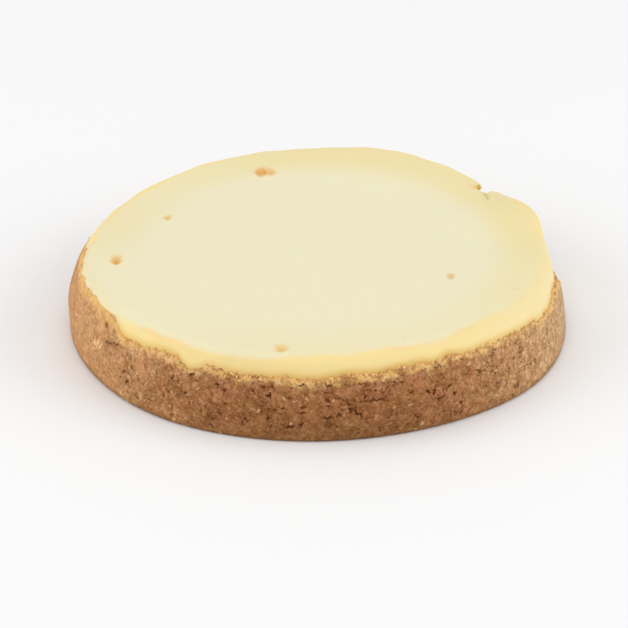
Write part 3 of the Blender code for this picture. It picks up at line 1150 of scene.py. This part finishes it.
@dataclass(frozen=True)
class Notch:
    """The break in the edge of the top, and the lobe that sank beside it."""

    azimuth: float = 44.8  # of the break at the cake's edge
    edge: float = 95.0 * MM  # radius of that edge
    slant: float = 0.45  # degrees by which the break lies back for each millimetre inwards
    slant_length: float = 8.0 * MM
    lobe_depth: float = 3.0 * MM
    lobe: float = 8.0  # degrees over which the sunk lobe comes up again
    cleft_depth: float = 6.9 * MM  # how much deeper it is right at the break
    cleft: float = 3.6  # degrees
    sag_depth: float = 1.2 * MM  # how far the other side has sagged
    sag: float = 6.0  # degrees over which that side comes up
    round_depth: float = 1.3 * MM  # how far that side is rounded at the break
    rounding: float = 1.6  # degrees
    steep: float = 0.55  # degrees over which the break's wall rises
    overhang: float = 1.2  # degrees by which the wall's upper edge stands out
    undercut: float = 0.7  # degrees by which its lower edge lies back
    hinge: float = 82.6 * MM  # radius of the crease far from the break
    bend: float = 5.2 * MM  # how much nearer to the edge it is at the break
    bend_start: float = 29.0
    bend_length: float = 10.0
    lobe_width: float = 10.0 * MM  # from the crease to the edge
    step: float = 0.4  # share of the sinking that is done at the crease
    groove: float = 1.4 * MM
    groove_width: float = 1.1 * MM
    groove_end: float = 30.0  # azimuth where the groove has run out
    zone: tuple[float, float] = (27.0, 51.0)  # azimuths that need fine faces
    zone_radius: float = 81.0 * MM

    def crease(self, azimuth: np.ndarray) -> np.ndarray:
        """Gives the radius of the crease at which the lobe bends down."""
        return self.hinge + self.bend * smooth((azimuth - self.bend_start) / self.bend_length)

    def side(self, azimuth: np.ndarray, radius: np.ndarray) -> np.ndarray:
        """Gives the angle past the break, positive on the side that stayed up."""
        inward = np.clip(self.edge - radius, 0.0, self.slant_length) / MM
        return (azimuth - self.azimuth + self.slant * inward + 180.0) % 360.0 - 180.0

    def sink(self, azimuth: np.ndarray, radius: np.ndarray) -> np.ndarray:
        """Gives how far the top has sunk at each place, with the groove along the crease."""
        side = self.side(azimuth, radius)
        before, behind = np.minimum(side, 0.0), np.maximum(side, 0.0)
        past = radius - self.crease(azimuth)
        width = 1.6 * MM + 6.0 * MM * smooth((38.0 - azimuth) / 10.0)
        tilt = smooth(np.clip(past / self.lobe_width, 0.0, 1.0) * 0.7) / smooth(np.array(0.7))
        bent = self.step * smooth(past / width + 0.5) + (1.0 - self.step) * tilt
        low = self.lobe_depth * np.exp(before / self.lobe) * bent
        low = low + self.cleft_depth * np.exp(-((before / self.cleft) ** 2)) * smooth(past / (3.0 * MM))
        high = self.sag_depth * np.exp(-behind / self.sag) * tilt
        rounded = self.round_depth * smooth(1.0 - behind / self.rounding)
        high = high + rounded * smooth((past - MM) / (6.0 * MM))
        up = smooth(side / self.steep + 1.0)
        return low + (high - low) * up + self.groove * self.grooved(azimuth, radius)

    def shift(self, azimuth: np.ndarray, radius: np.ndarray, height: np.ndarray) -> np.ndarray:
        """Gives how many degrees each place leans over the break."""
        side = self.side(azimuth, radius)
        edge = smooth(side / self.steep + 1.0) * smooth(1.0 - side / 4.0)
        foot = smooth(-side / self.steep) * smooth((side + 3.0) / (3.0 - self.steep))
        out = smooth((radius - self.hinge - 4.0 * MM) / (4.0 * MM))
        lean = self.overhang * edge * smooth((height - 28.6 * MM) / (1.9 * MM))
        return out * (lean - self.undercut * foot)

    def grooved(self, azimuth: np.ndarray, radius: np.ndarray) -> np.ndarray:
        """Gives how deep in the groove each place is, from 0 to 1."""
        line = smooth(1.0 - np.abs(radius - self.crease(azimuth)) / self.groove_width)
        start = smooth((0.4 - self.side(azimuth, radius)) / 0.8) * (azimuth < self.azimuth + 1.0)
        return line * start * smooth((azimuth - self.groove_end) / 5.0)

    def torn(self, azimuth: np.ndarray, radius: np.ndarray) -> np.ndarray:
        """Gives how much of the broken inside shows at each place, from 0 to 1."""
        wall = smooth(2.0 - np.abs(self.side(azimuth, radius) + 0.3) / 0.5)
        return 0.3 * wall * smooth((radius - self.crease(azimuth) + 2.0 * MM) / (2.0 * MM))


@dataclass
class CheeseFilling:
    """The filling: level skin, rounded shoulder, yellow side, and the marks on it."""

    form: CakeForm
    finish: FillingFinish = field(default_factory=FillingFinish)
    notch: Notch = field(default_factory=Notch)
    steps: int = 640
    side_spacing: float = 0.6 * MM
    top_spacing: float = 2.2 * MM
    sunk: float = 1.5 * MM  # how far the filling's edge reaches below the crumb's rim
    shoulder: float = 5.0 * MM
    shoulder_steps: int = 14
    ledge: float = 1.2 * MM
    full_ledge: float = 1.0 * MM
    ledge_swells: Swells = ((278.0, 34.0, 0.5 * MM), (348.0, 10.0, 0.6 * MM), (5.0, 18.0, 1.4 * MM))
    seam_radius: float = 91.2 * MM  # where the skin gives way to the yellow side
    seam_swells: Swells = ((246.0, 44.0, 6.0 * MM), (212.0, 26.0, 3.6 * MM), (90.0, 90.0, 1.5 * MM))
    across_swells: Swells = (
        (194.0, 30.0, -3.2 * MM),
        (246.0, 34.0, -2.4 * MM),
        (326.0, 50.0, 3.4 * MM),
        (0.0, 16.0, 1.4 * MM),
    )
    down_swells: Swells = (
        (194.0, 30.0, -3.4 * MM),
        (246.0, 34.0, -2.0 * MM),
        (326.0, 50.0, 1.2 * MM),
        (0.0, 16.0, 1.0 * MM),
        (26.0, 18.0, -1.4 * MM),
    )
    dents: tuple[Dent, ...] = (
        Dent(-23.9 * MM, 70.8 * MM, 7.0 * MM, 11.6 * MM, 0.5 * MM, 0.35 * MM, 1.0, 0.5, 1.0),
        Dent(-22.0 * MM, 71.4 * MM, 3.4 * MM, 8.6 * MM, 0.8 * MM, 0.0, 0.8, 0.5, 0.6),
        Dent(-20.0 * MM, 70.8 * MM, 6.8 * MM, 9.6 * MM, 0.3 * MM, 0.25 * MM, 0.5, 0.6, 0.8),
        Dent(-81.2 * MM, -10.6 * MM, 6.4 * MM, 12.6 * MM, 2.5 * MM, 0.0, 0.25, 1.0),
        Dent(-61.8 * MM, 30.4 * MM, 4.8 * MM, 7.4 * MM, 1.0 * MM, 0.0, 0.0, 1.0),
        Dent(-14.0 * MM, -87.2 * MM, 7.0 * MM, 9.2 * MM, 1.4 * MM, 0.0, 0.0, 0.9),
        Dent(53.3 * MM, -26.0 * MM, 4.6 * MM, 8.2 * MM, 0.3 * MM, 0.0, 0.58, 0.3),
        Dent(65.4 * MM, 57.2 * MM, 6.6 * MM, 6.6 * MM, 0.1 * MM, 0.0, 0.2, 0.0, 0.3),
    )
    flecks: tuple[Fleck, ...] = (
        Fleck(-30.8 * MM, -55.0 * MM, 2.4 * MM, 2.0 * MM, 0.16),
        Fleck(33.2 * MM, -80.2 * MM, 1.3 * MM, 1.6 * MM, 0.6),
        Fleck(73.4 * MM, 7.2 * MM, 3.4 * MM, 1.4 * MM, 0.22),
        Fleck(79.0 * MM, -37.5 * MM, 4.0 * MM, 1.6 * MM, 0.35),
        Fleck(86.3 * MM, 21.3 * MM, 1.2 * MM, 4.6 * MM, 0.2),
    )

    def build(self) -> bpy.types.Object:
        """Builds and dresses the filling.

        Returns:
            The finished piece.
        """
        filling = turned("set_cheese_filling", self._profile(), self.steps)
        self._divide_notch(filling)
        self._shape(filling)
        self._divide_spots(filling)
        toast, yellow = self._dip(filling)
        self._dress(filling, toast, yellow)
        filling.data.materials.append(self.finish.material())
        return filling

    def _profile(self) -> list[tuple[float, float]]:
        """Lists the points of half the section, from the middle of the bottom to that of the top."""
        form = self.form
        inner, outer = form.radius - form.wall - form.gap, form.radius - self.ledge
        low, high = form.floor + form.gap, form.rim - self.sunk
        turn = form.height - self.shoulder
        points = [(0.0, low), (inner, low), (inner, high), (outer, high)]
        points += line((outer, high), (outer, turn), self.side_spacing)
        points += arc((outer - self.shoulder, turn), self.shoulder, 0, 90, self.shoulder_steps)[1:]
        points += line((outer - self.shoulder, form.height), (MM, form.height), self.top_spacing)
        return points + [(0.0, form.height)]

    def _divide_notch(self, filling: bpy.types.Object) -> None:
        """Divides the faces round the notch more finely."""
        start, end = self.notch.zone
        refine(
            filling,
            lambda p: p.z > self.form.rim
            and math.hypot(p.x, p.y) > self.notch.zone_radius
            and start < math.degrees(math.atan2(p.y, p.x)) < end,
            2,
        )

    def _divide_spots(self, filling: bpy.types.Object) -> None:
        """Divides the faces at the small marks on the top more finely."""
        spots = [(d.x, d.y, 0.7 * max(d.width, d.length) + MM) for d in self.dents]
        spots += [(f.x, f.y, 0.6 * max(f.width, f.length) + MM) for f in self.flecks]
        level = self.form.rim
        refine(
            filling,
            lambda p: p.z > level and any(math.hypot(p.x - x, p.y - y) < r for x, y, r in spots),
            4,
        )

    def _shape(self, filling: bpy.types.Object) -> None:
        """Gives the turned body its uneven shoulder, its levels, its notch and its dents."""
        form = self.form
        places = points_of(filling)
        azimuth, radius, height = polar(places)
        outer, turn = form.radius - self.ledge, form.height - self.shoulder
        bottom = form.rim - self.sunk
        out = np.clip((radius - outer + self.shoulder) / self.shoulder, 0.0, 1.0)
        up = np.clip((height - turn) / self.shoulder, 0.0, 1.0)
        full = form.full_share(azimuth)
        across = self.shoulder + swells(azimuth, self.across_swells)
        across = across + ripple(azimuth, 21, (5, 40), 0.35 * MM)
        down = self.shoulder + swells(azimuth, self.down_swells)
        ledge = self.ledge + swells(azimuth, self.ledge_swells)
        ledge = ledge + ripple(azimuth, 22, (12, 45), 0.2 * MM)
        ledge = ledge + (self.full_ledge - ledge) * full
        edge = form.wall_radius(azimuth, form.height) - ledge
        plan = np.where(
            radius > outer - self.shoulder,
            edge - across * (1.0 - out),
            radius * (edge - across) / (outer - self.shoulder),
        )
        rim = form.rim_height(azimuth)
        low = rim - self.sunk - 2.0 * MM * full
        top = form.height + form.top_level(azimuth, np.minimum(radius, outer))
        top = top - self.notch.sink(azimuth, plan)
        down = np.minimum(down, top - low - 0.6 * MM)
        share = np.clip((height - bottom) / (turn - bottom), 0.0, 1.0)
        skin = height >= turn
        new_height = np.where(skin, top - down * (1.0 - up), low + (top - down - low) * share)
        lean = form.wall_radius(azimuth, new_height) - form.wall_radius(azimuth, form.height)
        new_radius = np.where(skin & (out <= 0.0), plan, plan + lean)
        inner = form.radius - form.wall
        hidden = (height < bottom - 0.01 * MM) | ((radius < inner) & (height < turn))
        hidden_radius = radius * form.wall_radius(azimuth, height) / form.radius
        new_radius = np.where(hidden, hidden_radius, new_radius)
        new_height = np.where(hidden, np.where(height < form.floor + MM, height, low), new_height)
        shift = self.notch.shift(azimuth, new_radius, new_height)
        move_points(filling, from_polar(azimuth - shift, new_radius, new_height))

    def _dip(self, filling: bpy.types.Object) -> tuple[np.ndarray, np.ndarray]:
        """Sinks the dents into the top.

        Args:
            filling: The shaped filling.

        Returns:
            How brown and how yellow the dents and the flecks are at each point.
        """
        places = points_of(filling)
        x, y, height = places.T
        dip, toast, yellow = np.zeros_like(x), np.zeros_like(x), np.zeros_like(x)
        for dent in self.dents:
            east, north = x - dent.x, y - dent.y
            turn = np.arctan2(north, east)
            uneven = 1.0 + 0.06 * np.sin(3.0 * turn + dent.x / MM) + 0.05 * np.sin(5.0 * turn)
            far = np.hypot(east * 2.0 / dent.width, north * 2.0 / dent.length) * uneven
            rough = np.sin(east * 2.3 / MM + 1.0) * np.sin(north * 2.9 / MM)
            dip = dip + dent.depth * smooth(1.0 - far) ** 1.3 * (1.0 + dent.rough * rough)
            dip = dip - dent.lip * smooth(1.0 - np.abs(far - 1.0) * 1.8)
            inside = smooth(1.0 - far)
            lumps = 1.0 + 0.35 * dent.rough * rough
            toast = np.maximum(toast, dent.toast * np.clip(1.5 * inside, 0.0, 1.0) * lumps)
            yellow = np.maximum(yellow, dent.yellow * inside**0.6 * lumps)
        for fleck in self.flecks:
            far = np.hypot((x - fleck.x) * 2.0 / fleck.width, (y - fleck.y) * 2.0 / fleck.length)
            toast = np.maximum(toast, fleck.toast * smooth(1.0 - far))
        upper = height > self.form.rim
        places[:, 2] = height - dip * upper
        move_points(filling, places)
        return np.clip(toast, 0.0, 1.0) * upper, np.clip(yellow, 0.0, 1.0) * upper

    def _dress(self, filling: bpy.types.Object, toast: np.ndarray, yellow: np.ndarray) -> None:
        """Marks the skin's edge, the soaked lower edge, the browned spots and the painted shade in the
        notch's groove.

        Args:
            filling: The shaped filling.
            toast: How far each point is browned.
            yellow: How far each point has yellowed.
        """
        form = self.form
        azimuth, radius, height = polar(points_of(filling))
        full = form.full_share(azimuth)
        seam_radius = self.seam_radius + swells(azimuth, self.seam_swells)
        seam_radius = seam_radius + ripple(azimuth, 31, (4, 40), 0.7 * MM)
        blur = 3.2 * MM + swells(azimuth, ((246.0, 40.0, -2.0 * MM), (20.0, 60.0, 5.0 * MM)))
        band = smooth((radius - seam_radius) / blur + 0.5)
        level = form.height + form.top_level(azimuth, radius) - self.notch.sink(azimuth, radius)
        dropped = smooth((level - height - 0.8 * MM) / (2.0 * MM))
        band = np.maximum(band * (1.0 - 0.92 * full), dropped * (1.0 - 0.75 * full))
        band = np.where(height < form.rim, 1.0, band)
        band = band * (1.0 - swells(azimuth, ((344.0, 46.0, 0.55),)) * (height > form.rim - 2.0 * MM))
        strength = 0.04 + swells(azimuth, ((300.0, 34.0, 0.4), (228.0, 26.0, 0.6)))
        strength = np.clip(strength + ripple(azimuth, 32, (14, 120), 0.15), 0.0, 1.0)
        seam = smooth(1.0 - np.abs(radius - seam_radius - 0.4 * MM) / (1.4 * MM)) * strength
        ring = smooth((radius - 63.0 * MM) / (22.0 * MM))
        ringed = ((80.0, 100.0, 0.95), (352.0, 66.0, 0.6), (270.0, 50.0, 0.3))
        ringed += ((166.0, 32.0, 0.45), (22.0, 34.0, 0.3))
        ring = ring * (0.1 + swells(azimuth, ringed))
        above = height - form.rim_height(azimuth, 0.0)
        soaked = smooth(1.1 - above / (3.2 * MM)) * smooth((radius - 91.0 * MM) / (3.0 * MM))
        soaked = soaked * (0.55 + swells(azimuth, ((290.0, 60.0, 0.4), (228.0, 26.0, 0.3))))
        soaked = soaked * (1.0 - 0.75 * full)
        torn = self.notch.torn(azimuth, radius) * (height > form.rim)
        groove = self.notch.grooved(azimuth, radius) * (height > form.rim)
        store(filling, Mark.BAND, band)
        store(filling, Mark.SEAM, np.clip(np.maximum(seam * (1.0 - full), torn), 0.0, 1.0))
        store(filling, Mark.RING, np.clip(ring, 0.0, 1.0))
        # painted shade: the notch's groove gets a quarter of the soaked colour
        soaked = np.maximum(np.maximum(soaked, 0.25 * groove), yellow)
        store(filling, Mark.STAIN, np.clip(soaked, 0.0, 1.0))
        store(filling, Mark.TOAST, toast)


# ---------------------------------------------------------------- the studio


@dataclass
class Studio:
    """The floor, the soft lights and the camera."""

    floor_side: float = 12.0
    sky: float = 0.665
    azimuth: float = 0.0
    elevation: float = 27.0
    distance: float = 1.6
    lens: float = 224.2
    aim: tuple[float, float, float] = (-1.42 * MM, 0.0, 4.36 * MM)
    finish: FloorFinish = field(default_factory=FloorFinish)

    def build(self) -> None:
        """Sets up the floor, the lights and the camera."""
        self._floor()
        self._sky()
        self._lamp("left_softbox", (-1.6, -0.4, 0.9), 1.4, 10.3)
        self._lamp("right_softbox", (1.6, -0.4, 0.9), 1.4, 10.3)
        self._lamp("top_softbox", (0.0, 0.3, 1.9), 1.6, 4.4)
        self._camera()
        bpy.context.scene.view_settings.view_transform = "Standard"

    def _floor(self) -> None:
        """Lays the floor under the cake."""
        bpy.ops.object.select_all(action="DESELECT")
        bpy.ops.mesh.primitive_plane_add(size=self.floor_side, location=(0, 0, 0))
        floor = bpy.context.active_object
        floor.name = "studio_floor"
        floor.data.materials.append(self.finish.material())

    def _sky(self) -> None:
        """Fills the world with even white light."""
        world = bpy.data.worlds.new("soft_studio")
        world.use_nodes = True
        background = world.node_tree.nodes["Background"]
        background.inputs["Color"].default_value = (1.0, 1.0, 1.0, 1.0)
        background.inputs["Strength"].default_value = self.sky
        bpy.context.scene.world = world

    def _lamp(self, name: str, place: tuple, size: float, power: float) -> None:
        """Hangs a soft square lamp that points at the cake."""
        bpy.ops.object.light_add(type="AREA", location=place)
        lamp = bpy.context.active_object
        lamp.name = name
        lamp.data.size = size
        lamp.data.energy = power
        lamp.rotation_euler = (-Vector(place)).to_track_quat("-Z", "Y").to_euler()

    def _camera(self) -> None:
        """Stands the camera in front of the cake, with a long lens."""
        turn, tilt = math.radians(self.azimuth), math.radians(self.elevation)
        away = Vector(
            (math.sin(turn) * math.cos(tilt), -math.cos(turn) * math.cos(tilt), math.sin(tilt))
        )
        bpy.ops.object.camera_add(location=Vector(self.aim) + away * self.distance)
        camera = bpy.context.active_object
        camera.name = "studio_camera"
        camera.rotation_euler = (-away).to_track_quat("-Z", "Y").to_euler()
        camera.data.lens = self.lens
        camera.data.clip_end = 30.0
        bpy.context.scene.camera = camera


def hand_over(piece: bpy.types.Object, node: Node | None = None) -> None:
    """Puts a finished piece in its place and reports it.

    Args:
        piece: The finished piece.
        node: The solid that it stands for, if it stands for one.
    """
    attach(piece, BODY)
    if node is not None:
        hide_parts(node.value)
    piece.data.calc_loop_triangles()
    log.info("%s: %d triangles", piece.name, len(piece.data.loop_triangles))


def main() -> None:
    """Builds the cake and its studio."""
    logging.basicConfig(level=logging.INFO, format="%(message)s")
    crust_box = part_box(Node.CRUST.value)
    form = CakeForm(radius=crust_box[1].x, full_rim=crust_box[1].z)
    hand_over(CrumbCrust(form).build(), Node.CRUST)
    hand_over(LooseCrumbs(form).build())
    hand_over(CheeseFilling(form).build(), Node.FILLING)
    Studio().build()


if __name__ == "__main__":
    main()
